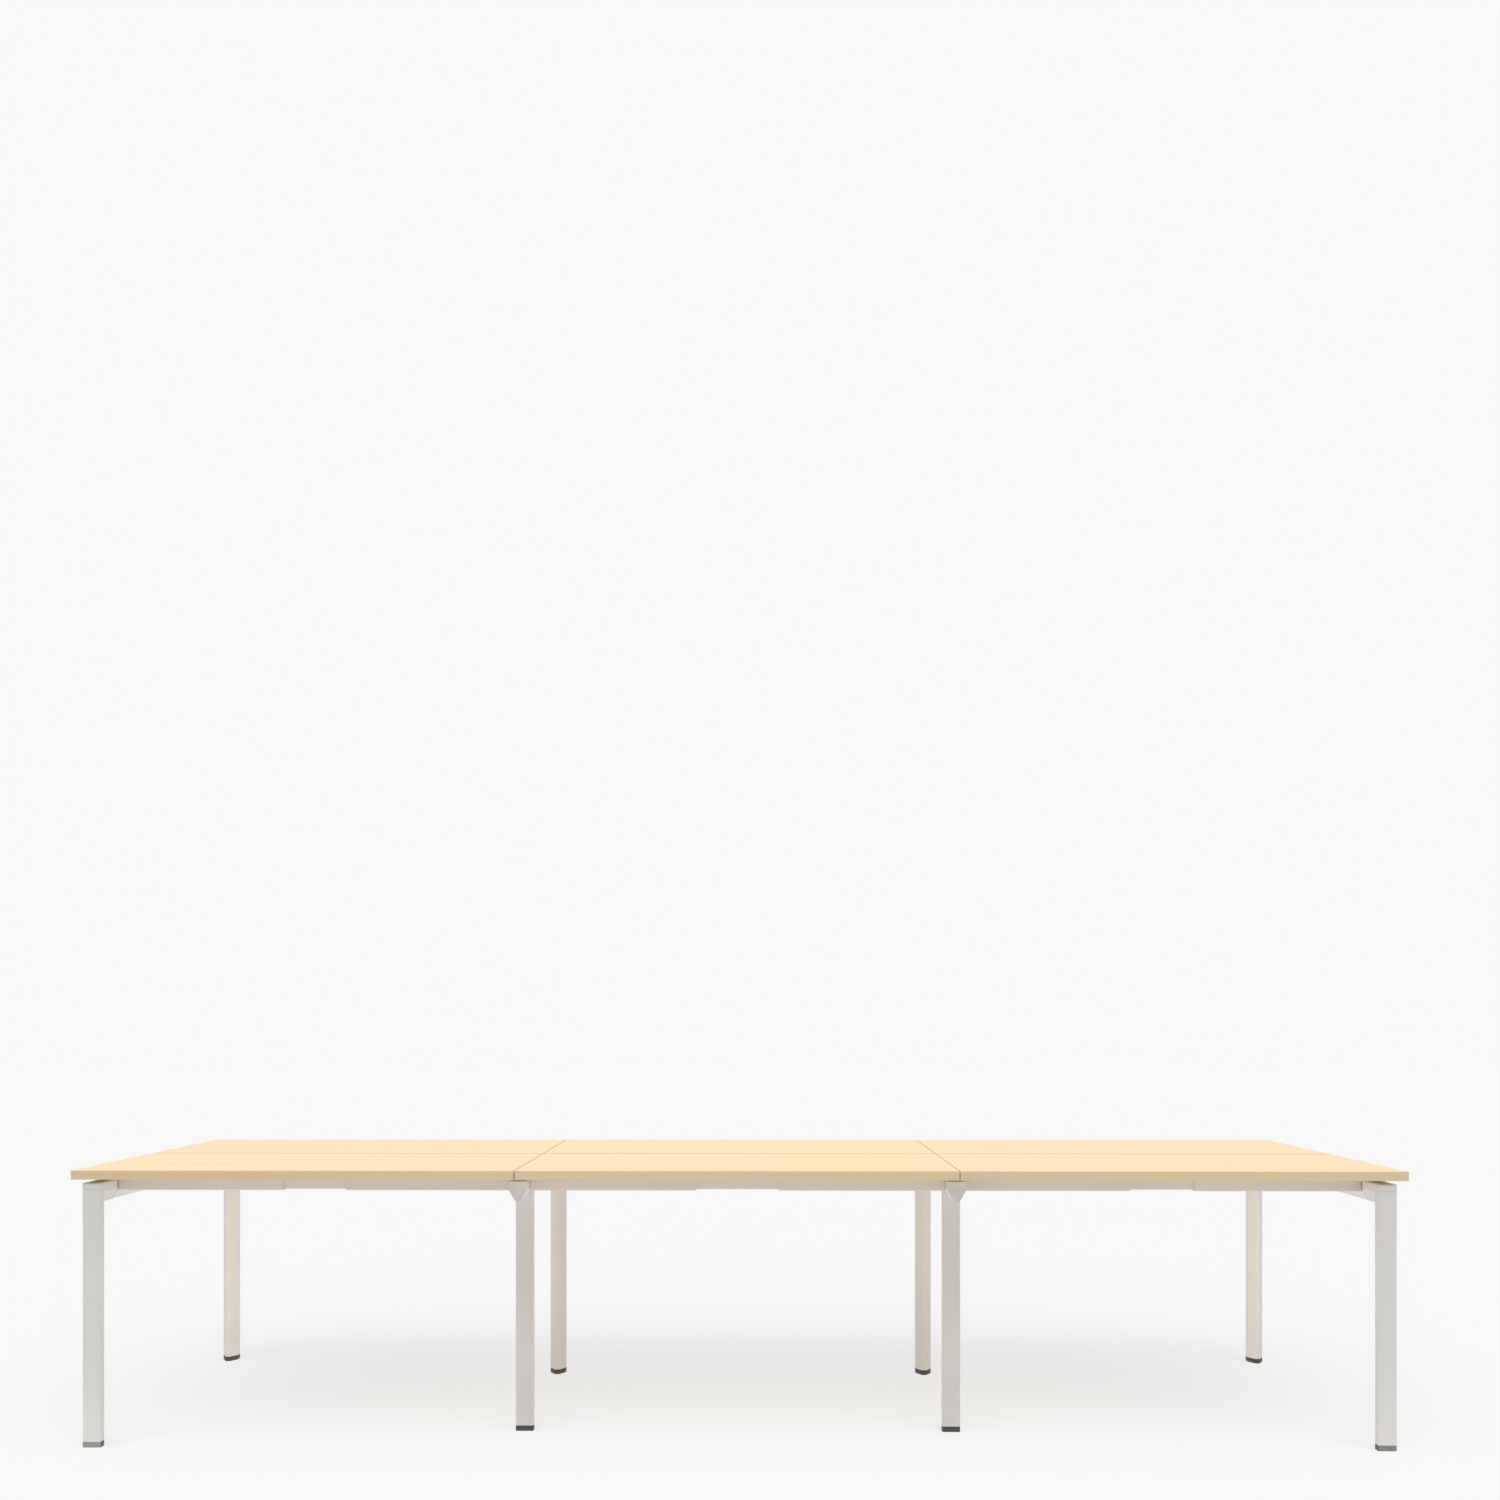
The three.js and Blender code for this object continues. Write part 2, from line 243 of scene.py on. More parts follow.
def underside_depth(x, width, depth):
    """How deep below its wide face the V section reaches at a distance x from its middle."""
    taper = (width / 2 - abs(x)) / (width / 2 - NOSE_WIDTH / 2)
    return min(depth, STRAIGHT_SIDE + taper * (depth - STRAIGHT_SIDE))


# ---------- meshes ----------

def ring(mesh, points):
    """New vertices at the points."""
    return [mesh.verts.new(point) for point in points]


def bridge(mesh, first, second):
    """Four-sided faces between two rings of vertices."""
    for index in range(len(first)):
        following = (index + 1) % len(first)
        mesh.faces.new((first[index], first[following], second[following], second[index]))


def loft(mesh, sections, closed=False):
    """Joins rings of 3-D points into a skin. A closed loft is a tube with a wall, an open one has ends."""
    rings = [ring(mesh, points) for points in sections]
    for first, second in zip(rings, rings[1:]):
        bridge(mesh, first, second)
    if closed:
        bridge(mesh, rings[-1], rings[0])
    else:
        mesh.faces.new(rings[0])
        mesh.faces.new(rings[-1])


def slab(mesh, low, high, softness):
    """A block with softened edges."""
    made = bmesh.ops.create_cube(mesh, size=1)["verts"]
    size = Vector(high) - Vector(low)
    middle = (Vector(high) + Vector(low)) / 2
    bmesh.ops.scale(mesh, vec=size, verts=made)
    bmesh.ops.translate(mesh, vec=middle, verts=made)
    edges = {edge for vertex in made for edge in vertex.link_edges}
    bmesh.ops.bevel(mesh, geom=list(edges), offset=softness, segments=2, profile=0.5, affect="EDGES")


def soften(mesh, width):
    """Rounds the sharp edges a little, so that they catch the light."""
    sharp = [edge for edge in mesh.edges
             if len(edge.link_faces) == 2 and edge.calc_face_angle() > math.radians(SHARP_ANGLE)]
    bmesh.ops.bevel(mesh, geom=sharp, offset=width, segments=2, profile=0.5, affect="EDGES",
                    clamp_overlap=True)


def piece(name, mesh, material, body=TABLE, replaces=(), crease=32):
    """Turns a finished bmesh into a piece that rides on its body."""
    bmesh.ops.remove_doubles(mesh, verts=mesh.verts, dist=1e-7)
    bmesh.ops.recalc_face_normals(mesh, faces=mesh.faces)
    for face in mesh.faces:
        face.smooth = True
    for edge in mesh.edges:
        edge.smooth = len(edge.link_faces) == 2 and edge.calc_face_angle() < math.radians(crease)
    data = bpy.data.meshes.new(name)
    mesh.to_mesh(data)
    mesh.free()
    made = bpy.data.objects.new(name, data)
    bpy.context.scene.collection.objects.link(made)
    for entry in material if isinstance(material, (list, tuple)) else [material]:
        data.materials.append(entry)
    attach(made, body)
    if replaces:
        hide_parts(*replaces)


# ---------- materials ----------

class Shader:
    """A Principled material whose parts are driven by procedural textures in object coordinates."""

    def __init__(self, name, metallic=0.0):
        self.material = bpy.data.materials.new(name)
        self.material.use_nodes = True
        self.tree = self.material.node_tree
        self.surface = self.tree.nodes["Principled BSDF"]
        self.surface.inputs["Metallic"].default_value = metallic
        self.place = self.tree.nodes.new("ShaderNodeTexCoord").outputs["Object"]

    def node(self, kind, inputs=None, **settings):
        """A node with its inputs linked or set, each by name."""
        made = self.tree.nodes.new(kind)
        for key, value in settings.items():
            setattr(made, key, value)
        for key, value in (inputs or {}).items():
            if isinstance(value, bpy.types.NodeSocket):
                self.tree.links.new(value, made.inputs[key])
            else:
                made.inputs[key].default_value = value
        return made

    def mapped(self, scale, shift):
        """The place on the object, stretched and moved."""
        inputs = {"Vector": self.place, "Scale": scale, "Location": shift}
        return self.node("ShaderNodeMapping", inputs).outputs["Vector"]

    def noise(self, scale, shift=(0, 0, 0), detail=2.0, roughness=0.5):
        """Noise from 0 to 1, with the scale in grains per metre along each axis."""
        inputs = {"Vector": self.mapped(scale, shift), "Scale": 1.0, "Detail": detail, "Roughness": roughness}
        return self.node("ShaderNodeTexNoise", inputs).outputs["Fac"]

    def spread(self, value, low, high, to_low=0.0, to_high=1.0):
        """Maps a value from one range to another, clamped."""
        inputs = {"Value": value, "From Min": low, "From Max": high, "To Min": to_low, "To Max": to_high}
        return self.node("ShaderNodeMapRange", inputs).outputs["Result"]

    def mix(self, share, first, second):
        """A colour between two colours."""
        made = self.node("ShaderNodeMix", data_type="RGBA")
        for index, value in ((0, share), (6, first), (7, second)):
            if isinstance(value, bpy.types.NodeSocket):
                self.tree.links.new(value, made.inputs[index])
            else:
                made.inputs[index].default_value = value
        return made.outputs[2]

    def link(self, value, socket):
        """Drives one of the surface's sockets."""
        self.tree.links.new(value, self.surface.inputs[socket])

    def bump(self, height, distance, strength, under=None):
        """A normal from a height, on top of another normal where one is given."""
        inputs = {"Height": height, "Distance": distance, "Strength": strength}
        if under:
            inputs["Normal"] = under
        return self.node("ShaderNodeBump", inputs).outputs["Normal"]


def color(red, green, blue):
    """The colour of a socket, with its opacity."""
    return (red, green, blue, 1.0)


def maple(name, seed, along="x", shade=1.0):
    """Light maple decor: long soft streaks, broad warm patches, faint arches and short fine pores."""
    shader = Shader(name)
    draw = random.Random(seed)
    shift = (draw.uniform(0, 40), draw.uniform(0, 40), draw.uniform(0, 40))

    def grain(lengthways, across):
        return (lengthways, across, across) if along == "x" else (across, lengthways, across)

    def tinted(channels):
        return color(*[channel * shade for channel in channels])

    patches = shader.spread(shader.noise(grain(0.7, 2.4), shift, detail=1.5), 0.35, 0.65)
    streaks = shader.spread(shader.noise(grain(0.9, 26), shift, detail=4, roughness=0.62), 0.3, 0.7)
    lines = shader.spread(shader.noise(grain(2.4, 260), shift, detail=4, roughness=0.6), 0.38, 0.74)
    pores = shader.spread(shader.noise(grain(70, 1300), shift, detail=2), 0.60, 0.74)
    arches = shader.node("ShaderNodeTexWave", {
        "Vector": shader.mapped(grain(0.30, 8.5), shift), "Scale": 0.7, "Distortion": 9.0,
        "Detail": 3.0, "Detail Scale": 0.7}, wave_type="BANDS", bands_direction="DIAGONAL").outputs["Fac"]

    tone = shader.mix(patches, tinted(MAPLE_CREAM), tinted(MAPLE_STRAW))
    tone = shader.mix(shader.spread(streaks, 0, 1, 0, 0.60), tone, tinted(MAPLE_STREAK))
    tone = shader.mix(shader.spread(arches, 0.60, 1, 0, 0.34), tone, tinted(MAPLE_ARCH))
    tone = shader.mix(shader.spread(lines, 0, 1, 0, 0.36), tone, tinted(MAPLE_LINE))
    tone = shader.mix(shader.spread(pores, 0, 1, 0, 0.40), tone, tinted(MAPLE_PORE))
    shader.link(tone, "Base Color")
    shader.link(shader.spread(lines, 0, 1, 0.40, 0.54), "Roughness")
    shader.surface.inputs["Specular IOR Level"].default_value = BOARD_GLOSS
    fine = shader.bump(shader.noise(grain(60, 1100), shift, detail=2), 0.00010, 0.40)
    shader.link(shader.bump(streaks, 0.00010, 0.2, fine), "Normal")
    return shader.material


def powder_coat(name, tint, seed):
    """Satin powder coat: a fine orange peel, a slight clouding and tiny flecks."""
    shader = Shader(name)
    shift = (seed * 3.1, seed * 7.7, seed * 1.3)
    clouds = shader.noise((3, 3, 3), shift, detail=3)
    flecks = shader.spread(shader.noise((900, 900, 900), shift, detail=1), 0.66, 0.8)
    darker = color(*[channel * 0.965 for channel in tint])
    tone = shader.mix(shader.spread(clouds, 0.35, 0.65), color(*tint), darker)
    tone = shader.mix(shader.spread(flecks, 0, 1, 0, 0.10), tone, color(0.62, 0.60, 0.57))
    shader.link(tone, "Base Color")
    shader.link(shader.spread(clouds, 0.3, 0.7, 0.36, 0.46), "Roughness")
    peel = shader.noise((520, 520, 520), shift, detail=2, roughness=0.45)
    shader.link(shader.bump(peel, 0.00016, 0.55), "Normal")
    return shader.material


def moulded_plastic(name, tint, worn, seed):
    """Moulded plastic: a fine spark-eroded grain, with rubbed lighter patches."""
    shader = Shader(name)
    shift = (seed * 5.3, seed * 2.9, seed * 4.1)
    rubs = shader.spread(shader.noise((45, 45, 120), shift, detail=4, roughness=0.6), 0.5, 0.78)
    clouds = shader.noise((12, 12, 12), shift, detail=2)
    darker = color(*[channel * 0.88 for channel in tint])
    tone = shader.mix(shader.spread(clouds, 0.3, 0.7), color(*tint), darker)
    tone = shader.mix(shader.spread(rubs, 0, 1, 0, 0.35), tone, color(*worn))
    shader.link(tone, "Base Color")
    shader.link(shader.spread(rubs, 0, 1, 0.52, 0.40), "Roughness")
    grain = shader.noise((1900, 1900, 1900), shift, detail=2)
    shader.link(shader.bump(grain, 0.00006, 0.45), "Normal")
    return shader.material


def zinc(name):
    """Zinc-plated steel, slightly mottled."""
    shader = Shader(name, metallic=1.0)
    spangle = shader.noise((380, 380, 380), detail=3, roughness=0.6)
    tone = shader.mix(shader.spread(spangle, 0.3, 0.7), color(0.60, 0.61, 0.63), color(0.74, 0.74, 0.73))
    shader.link(tone, "Base Color")
    shader.link(shader.spread(spangle, 0.3, 0.7, 0.26, 0.42), "Roughness")
    return shader.material


FRAME_COAT = powder_coat("powder_coat_frame", (0.820, 0.812, 0.790), 1)
# The rails' coat is the frame's white made darker and warmer: painted shade and warm wood light from under
# the tops
RAIL_COAT_PAINTED_SHADE = powder_coat("powder_coat_rail", (0.775, 0.730, 0.685), 2)
CAP_PLASTIC = moulded_plastic("cap_plastic", (0.815, 0.800, 0.775), (0.86, 0.85, 0.83), 3)
FOOT_PLASTIC = moulded_plastic("foot_plastic_grain", (0.078, 0.076, 0.072), (0.19, 0.19, 0.185), 4)
GASKET_PLASTIC = moulded_plastic("gasket_plastic", (0.22, 0.205, 0.19), (0.30, 0.29, 0.28), 5)
ZINC = zinc("zinc_plate")


# ---------- tops ----------

def board(name, seed):
    """A top: a melamine-faced board in a thin rounded edge band, whose strips in the long joint are darker
    with painted shade.
    """
    low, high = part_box(name)
    outline = rectangle(low, high, BOARD_CORNER)
    core = inset(outline, BAND_THICKNESS + BAND_SEAM)
    chamfered = inset(core, BAND_SEAM)
    mesh = bmesh.new()
    loft(mesh, [[(p.x, p.y, z) for p in edge] for edge, z in (
        (chamfered, low.z), (core, low.z + BAND_SEAM), (core, high.z - BAND_SEAM), (chamfered, high.z))])
    decor = maple(f"maple_{name}", seed, shade=CORE_SHADE)
    piece(f"{name}_board", mesh, decor, replaces=[name])

    turns = [math.radians(90) * step / ARC_STEPS for step in range(ARC_STEPS + 1)]
    arris = [(BAND_ARRIS * (1 - math.sin(turn)), BAND_ARRIS * (1 - math.cos(turn))) for turn in turns]
    profile = [(BAND_THICKNESS, low.z), (BAND_THICKNESS, high.z)]
    profile += [(sunk, high.z - drop) for sunk, drop in arris]
    profile += [(sunk, low.z + rise) for rise, sunk in arris]
    mesh = bmesh.new()
    loft(mesh, [[(p.x, p.y, z) for p in inset(outline, sunk)] for sunk, z in profile], closed=True)
    middle = (low + high) / 2
    reach = (high.x - low.x) / 2 - BOARD_CORNER
    for face in mesh.faces:
        place = face.calc_center_median() - middle
        towards_joint = place.y * middle.y < 0
        face.material_index = 1 if abs(place.x) > reach else 2 * towards_joint
    # The strips facing the long joint take a darker maple: painted shade for the shadow in the joint
    strips = [maple(f"maple_{name}_long_edge", seed + 0.3, shade=BAND_SHADE),
              maple(f"maple_{name}_end_edge", seed + 0.6, along="y", shade=BAND_SHADE),
              maple(f"maple_{name}_joint_edge_painted_shade", seed + 0.9, shade=JOINT_PAINTED_SHADE)]
    piece(f"{name}_edge_band", mesh, strips)


for index, bay in enumerate(BAYS):
    for row in SIDES:
        board(f"top_{bay}_{row}", 11 + 2 * index + (row == "back"))


# ---------- leg frames ----------

class Upright:
    """Places 2-D section points of a leg, foot or casting: x across, y inwards from the leg's outer face."""

    def __init__(self, name, side):
        self.low, self.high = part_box(name)
        self.side = side
        self.middle_x = (self.low.x + self.high.x) / 2
        self.outer_y = self.low.y if side < 0 else self.high.y
        self.width = self.high.x - self.low.x
        self.depth = self.high.y - self.low.y

    def at(self, point, z):
        return (self.middle_x + point[0], self.outer_y - self.side * point[1], z)

    def level(self, outline, z):
        return [self.at(point, z) for point in outline]

    def shaped(self, outline, height_of):
        return [self.at(point, height_of(point)) for point in outline]


def drawn_in(outline, share):
    """The outline shrunk towards the stud's axis."""
    return [point.lerp(STUD_AXIS, share) for point in outline]


def stud_hole(outline, radius):
    """A circle round the stud's axis with one point for each point of the outline."""
    return [STUD_AXIS + (point - STUD_AXIS).normalized() * radius for point in outline]


def leg(name, side, top_of, outline_splits):
    """A V tube with a bored plug in its foot end and a shaped top end."""
    upright = Upright(name, side)
    outline = section(upright.width, upright.depth)
    for axis, levels in outline_splits:
        outline = split_at(outline, axis, levels)
    bore = inset(outline, SECTION_WALL)
    hole = stud_hole(outline, STUD_RADIUS + GAP)
    bottom = upright.low.z
    mesh = bmesh.new()
    loft(mesh, [
        upright.level(inset(outline, FINE_EDGE), bottom),
        upright.level(outline, bottom + FINE_EDGE),
        upright.shaped(outline, top_of),
        upright.shaped(bore, top_of),
        upright.level(bore, bottom + PLUG_HEIGHT),
        upright.level(hole, bottom + PLUG_HEIGHT),
        upright.level(hole, bottom + PLUG_RECESS),
        upright.level(bore, bottom + PLUG_RECESS),
        upright.level(bore, bottom),
    ], closed=True)
    piece(f"{name}_tube", mesh, FRAME_COAT, replaces=[name])


def foot(name, side):
    """A levelling foot: a moulded pad in the leg's section, with a groove and dished ends, on its stud."""
    upright = Upright(name, side)
    outline = section(upright.width, upright.depth)
    bottom, top = upright.low.z, upright.low.z + FOOT_HEIGHT
    tread = [(drawn_in(outline, RECESS_SHARE), bottom + FOOT_RIM), (drawn_in(outline, TREAD_SHARE), bottom)]
    rim = [(inset(outline, sunk), bottom + rise) for sunk, rise in (
        (FOOT_RIM, 0), (FOOT_RIM * 0.3, FOOT_RIM * 0.3), (0, FOOT_RIM))]
    groove = [(inset(outline, sunk), top - below)
              for sunk, below in zip((0, GROOVE_DEPTH, GROOVE_DEPTH, 0), GROOVE_LEVELS)]
    shoulder = [(outline, top - SOFT_EDGE), (inset(outline, FINE_EDGE), top)]
    dish = [(drawn_in(outline, DISH_SHARE), top), (drawn_in(outline, RECESS_SHARE), top - DISH_DEPTH)]
    mesh = bmesh.new()
    loft(mesh, [upright.level(edge, z) for edge, z in tread + rim + groove + shoulder + dish])
    piece(f"{name}_pad", mesh, FOOT_PLASTIC, body=name, replaces=[name])
    threaded_stud(name, upright, top - STUD_ROOT)


def threaded_stud(name, upright, start):
    """The foot's stud, from inside the pad to its top in the leg's plug."""
    end = upright.high.z
    rings = int((end - start) / STUD_PITCH * RINGS_PER_TURN)
    levels = []
    for index in range(rings + 1):
        z = start + (end - start) * index / rings
        points = []
        for step in range(STUD_SIDES):
            phase = (z / STUD_PITCH - step / STUD_SIDES) % 1
            radius = STUD_RADIUS - THREAD_DEPTH * abs(2 * phase - 1)
            turn = 2 * math.pi * step / STUD_SIDES
            points.append(upright.at((radius * math.cos(turn), STUD_INSET + radius * math.sin(turn)), z))
        levels.append(points)
    mesh = bmesh.new()
    loft(mesh, levels)
    piece(f"{name}_stud", mesh, ZINC, body=name)


def casting(name, side):
    """The corner casting: the V section bent round the frame's outer corner, mitred on the inside."""
    corner = Upright(name, side)
    width = corner.width - 2 * CASTING_PROUD
    depth = corner.high.z - corner.low.z - 2 * CASTING_PROUD
    frame_top = corner.high.z - CASTING_PROUD
    reach = corner.depth - CASTING_PROUD
    outer_y = corner.outer_y - corner.side * CASTING_PROUD
    outline = split_at(section(width, depth, CASTING_PROUD), 1, [CASTING_HEAD])

    def at(x, inward, below):
        return (corner.middle_x + x, outer_y - corner.side * inward, frame_top - below)

    def path(point):
        x, deep = point
        stops = [at(x, reach, deep)]
        radius = max(0.0, CASTING_CORNER - deep)
        for step in range(ARC_STEPS + 1):
            turn = math.radians(90) * step / ARC_STEPS
            inward = max(deep, CASTING_CORNER) - radius * math.sin(turn)
            below = max(deep, CASTING_CORNER) - radius * math.cos(turn)
            stops.append(at(x, inward, below))
        stops.append(at(x, deep, max(CASTING_HEAD, deep)))
        return stops

    paths = [path(point) for point in outline]
    mesh = bmesh.new()
    rings = [ring(mesh, points) for points in zip(*paths)]
    for first, second in zip(rings, rings[1:]):
        bridge(mesh, first, second)
    mesh.faces.new(rings[0])
    deep = [point.y >= CASTING_HEAD - 1e-6 for point in outline]
    turn_in = next(i for i in range(len(deep)) if deep[i] and not deep[i - 1])
    ordered = [(turn_in + i) % len(deep) for i in range(len(deep))]
    below = [i for i in ordered if deep[i]]
    above = [below[-1]] + [i for i in ordered if not deep[i]] + [below[0]]
    for group in (below, above):
        mesh.faces.new([rings[-1][i] for i in group])
    bmesh.ops.remove_doubles(mesh, verts=mesh.verts, dist=1e-6)
    bmesh.ops.dissolve_degenerate(mesh, edges=mesh.edges, dist=1e-6)
    soften(mesh, SOFT_EDGE)
    piece(f"{name}_elbow", mesh, FRAME_COAT, replaces=[name])


class Beam:
    """Places 2-D section points of a crossbeam, cap or gasket: x across, y down from its top face."""

    def __init__(self, name):
        self.low, self.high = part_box(name)
        self.outline = section(self.high.x - self.low.x, self.high.z - self.low.z)
        self.middle_x = (self.low.x + self.high.x) / 2

    def across(self, outline, y):
        return [(self.middle_x + p.x, y, self.high.z - p.y) for p in outline]


def crossbeam(name):
    """A V tube with open ends."""
    beam = Beam(name)
    outline, bore = beam.outline, inset(beam.outline, SECTION_WALL)
    front, back = beam.low.y, beam.high.y
    mesh = bmesh.new()
    loft(mesh, [beam.across(outline, front), beam.across(outline, back),
                beam.across(bore, back), beam.across(bore, front)], closed=True)
    piece(f"{name}_tube", mesh, FRAME_COAT, replaces=[name])


def gasket(name):
    """The plastic spacer between a casting and its crossbeam, a hair proud of the crossbeam."""
    beam = Beam(name)
    proud = inset(beam.outline, -GASKET_PROUD)
    mesh = bmesh.new()
    loft(mesh, [beam.across(beam.outline, beam.low.y), beam.across(proud, beam.low.y + GASKET_PROUD),
                beam.across(proud, beam.high.y - GASKET_PROUD), beam.across(beam.outline, beam.high.y)])
    piece(f"{name}_spacer", mesh, GASKET_PLASTIC, replaces=[name])


def end_cap(name, side):
    """The moulded cap on a crossbeam's free end, with a rounded rim."""
    beam = Beam(name)
    outer_y = beam.low.y if side < 0 else beam.high.y
    thickness = beam.high.y - beam.low.y
    rim = [(0, CAP_RIM), (CAP_RIM * 0.12, CAP_RIM * 0.5), (CAP_RIM * 0.5, CAP_RIM * 0.12), (CAP_RIM, 0)]
    profile = [(CAP_CHAMFER, thickness), (0, thickness - CAP_CHAMFER)] + rim
    mesh = bmesh.new()
    loft(mesh, [beam.across(inset(beam.outline, sunk), outer_y - side * inward) for sunk, inward in profile])
    piece(f"{name}_moulding", mesh, CAP_PLASTIC, replaces=[name])


def evenly(path, spacing):
    """Points at about even distances along a closed path."""
    stops = []
    for index, point in enumerate(path):
        following = path[(index + 1) % len(path)]
        count = max(1, round((following - point).length / spacing))
        stops += [point.lerp(following, step / count) for step in range(count)]
    return [point for index, point in enumerate(stops) if (point - stops[index - 1]).length > spacing * 0.3]


def weld(name, side, top_of, splits, seed):
    """The rippled weld bead between a middle leg's notched top and the crossbeam in it."""
    upright = Upright(name, side)
    outline = section(upright.width, upright.depth)
    for axis, levels in splits:
        outline = split_at(outline, axis, levels)
    path = [Vector(point) for point in upright.shaped(inset(outline, WELD_RADIUS * 0.3), top_of)]
    path = evenly(path, WELD_RIPPLE / len(WELD_SWELL))
    draw = random.Random(seed)
    mesh = bmesh.new()
    rings = []
    for index, point in enumerate(path):
        ahead = (path[(index + 1) % len(path)] - path[index - 1]).normalized()
        outward = Vector((point.x - upright.middle_x, point.y - upright.outer_y + side * STUD_INSET, 0))
        outward = (outward - ahead * outward.dot(ahead)).normalized()
        upward = outward.cross(ahead)
        radius = WELD_RADIUS * WELD_SWELL[index % len(WELD_SWELL)] * draw.uniform(0.95, 1.05)
        rings.append([point + (outward * math.cos(t) + upward * math.sin(t)) * radius
                      for t in (2 * math.pi * step / WELD_SIDES for step in range(WELD_SIDES))])
    loft(mesh, rings, closed=True)
    piece(f"{name}_weld", mesh, FRAME_COAT, crease=60)


# Where the legs' top ends meet the crossbeams
END_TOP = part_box("crossbeam_left_end")[1].z
MIDDLE_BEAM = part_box("crossbeam_left_middle")
MIDDLE_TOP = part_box("leg_left_middle_front")[1].z
BEAM_WIDTH = MIDDLE_BEAM[1].x - MIDDLE_BEAM[0].x
BEAM_DEPTH = MIDDLE_BEAM[1].z - MIDDLE_BEAM[0].z


def mitred_top(point):
    """The end leg's top, cut on a 45 degree slope under the casting's head."""
    return END_TOP - max(CASTING_HEAD, point[1]) - GAP * math.sqrt(2)


def notched_top(point):
    """The middle leg's top, notched to fit the crossbeam's underside."""
    beam_bottom = MIDDLE_BEAM[1].z - underside_depth(point[0], BEAM_WIDTH, BEAM_DEPTH)
    return min(MIDDLE_TOP, beam_bottom - GAP)


def notch_splits():
    """Where the notch's V starts and where it passes the top of the leg."""
    climb = (BEAM_WIDTH - NOSE_WIDTH) / 2 / (BEAM_DEPTH - STRAIGHT_SIDE)
    ear = NOSE_WIDTH / 2 + (MIDDLE_TOP + GAP - MIDDLE_BEAM[0].z) * climb
    return [(0, [-ear, -NOSE_WIDTH / 2, NOSE_WIDTH / 2, ear])]


for frame_name in END_FRAMES:
    crossbeam(f"crossbeam_{frame_name}")
    for row, side in SIDES.items():
        gasket(f"gasket_{frame_name}_{row}")
        leg(f"leg_{frame_name}_{row}", side, mitred_top, [(1, [CASTING_HEAD])])
        casting(f"casting_{frame_name}_{row}", side)
        foot(f"foot_{frame_name}_{row}", side)

for number, frame_name in enumerate(MIDDLE_FRAMES):
    crossbeam(f"crossbeam_{frame_name}")
    for row, side in SIDES.items():
        leg(f"leg_{frame_name}_{row}", side, notched_top, notch_splits())
        weld(f"leg_{frame_name}_{row}", side, notched_top, notch_splits(), 31 + 2 * number + side)
        end_cap(f"cap_{frame_name}_{row}", side)
        foot(f"foot_{frame_name}_{row}", side)


# ---------- rails ----------

def tube_along_x(mesh, outline, start, end):
    """A rail's tube with open ends."""
    bore = inset(outline, RAIL_WALL)
    loft(mesh, [[(x, p.x, p.y) for p in edge] for edge, x in (
        (outline, start), (outline, end), (bore, end), (bore, start))], closed=True)


def end_hook(mesh, low, high, x, ahead):
    """The plate on a rail's end, with a lip that lies on the crossbeam."""
    first, last = sorted((x, x + ahead * END_PLATE))
    slab(mesh, (first, low.y, low.z), (last, high.y, high.z), SOFT_EDGE)
    lip_end = low.x if ahead > 0 else high.x
    first, last = sorted((lip_end, x + ahead * END_PLATE / 2))
    bottom, top = END_TOP + GAP, END_TOP + GAP + HOOK_THICKNESS
    slab(mesh, (first, low.y + LIP_INSET, bottom), (last, high.y - LIP_INSET, top), SOFT_EDGE)


def screw_head(mesh, place):
    """A flat head with a hexagon socket, seen from below."""
    sixth = math.pi / 3
    head = circle(SCREW_RADIUS, SCREW_SIDES)
    socket = circle(SCREW_RADIUS * SOCKET_SHARE, SCREW_SIDES)
    hexagon = [p * 0.9 / math.cos(math.atan2(p.y, p.x) % sixth - sixth / 2) for p in socket]
    levels = [(head, 0.0), (head, -SCREW_HEAD * 0.45), (inset(head, SOFT_EDGE), -SCREW_HEAD * 0.85),
              (inset(head, SCREW_CROWN), -SCREW_HEAD), (hexagon, -SCREW_HEAD), (hexagon, SCREW_HEAD * 0.2)]
    loft(mesh, [[(place[0] + p.x, place[1] + p.y, place[2] + z) for p in edge] for edge, z in levels])


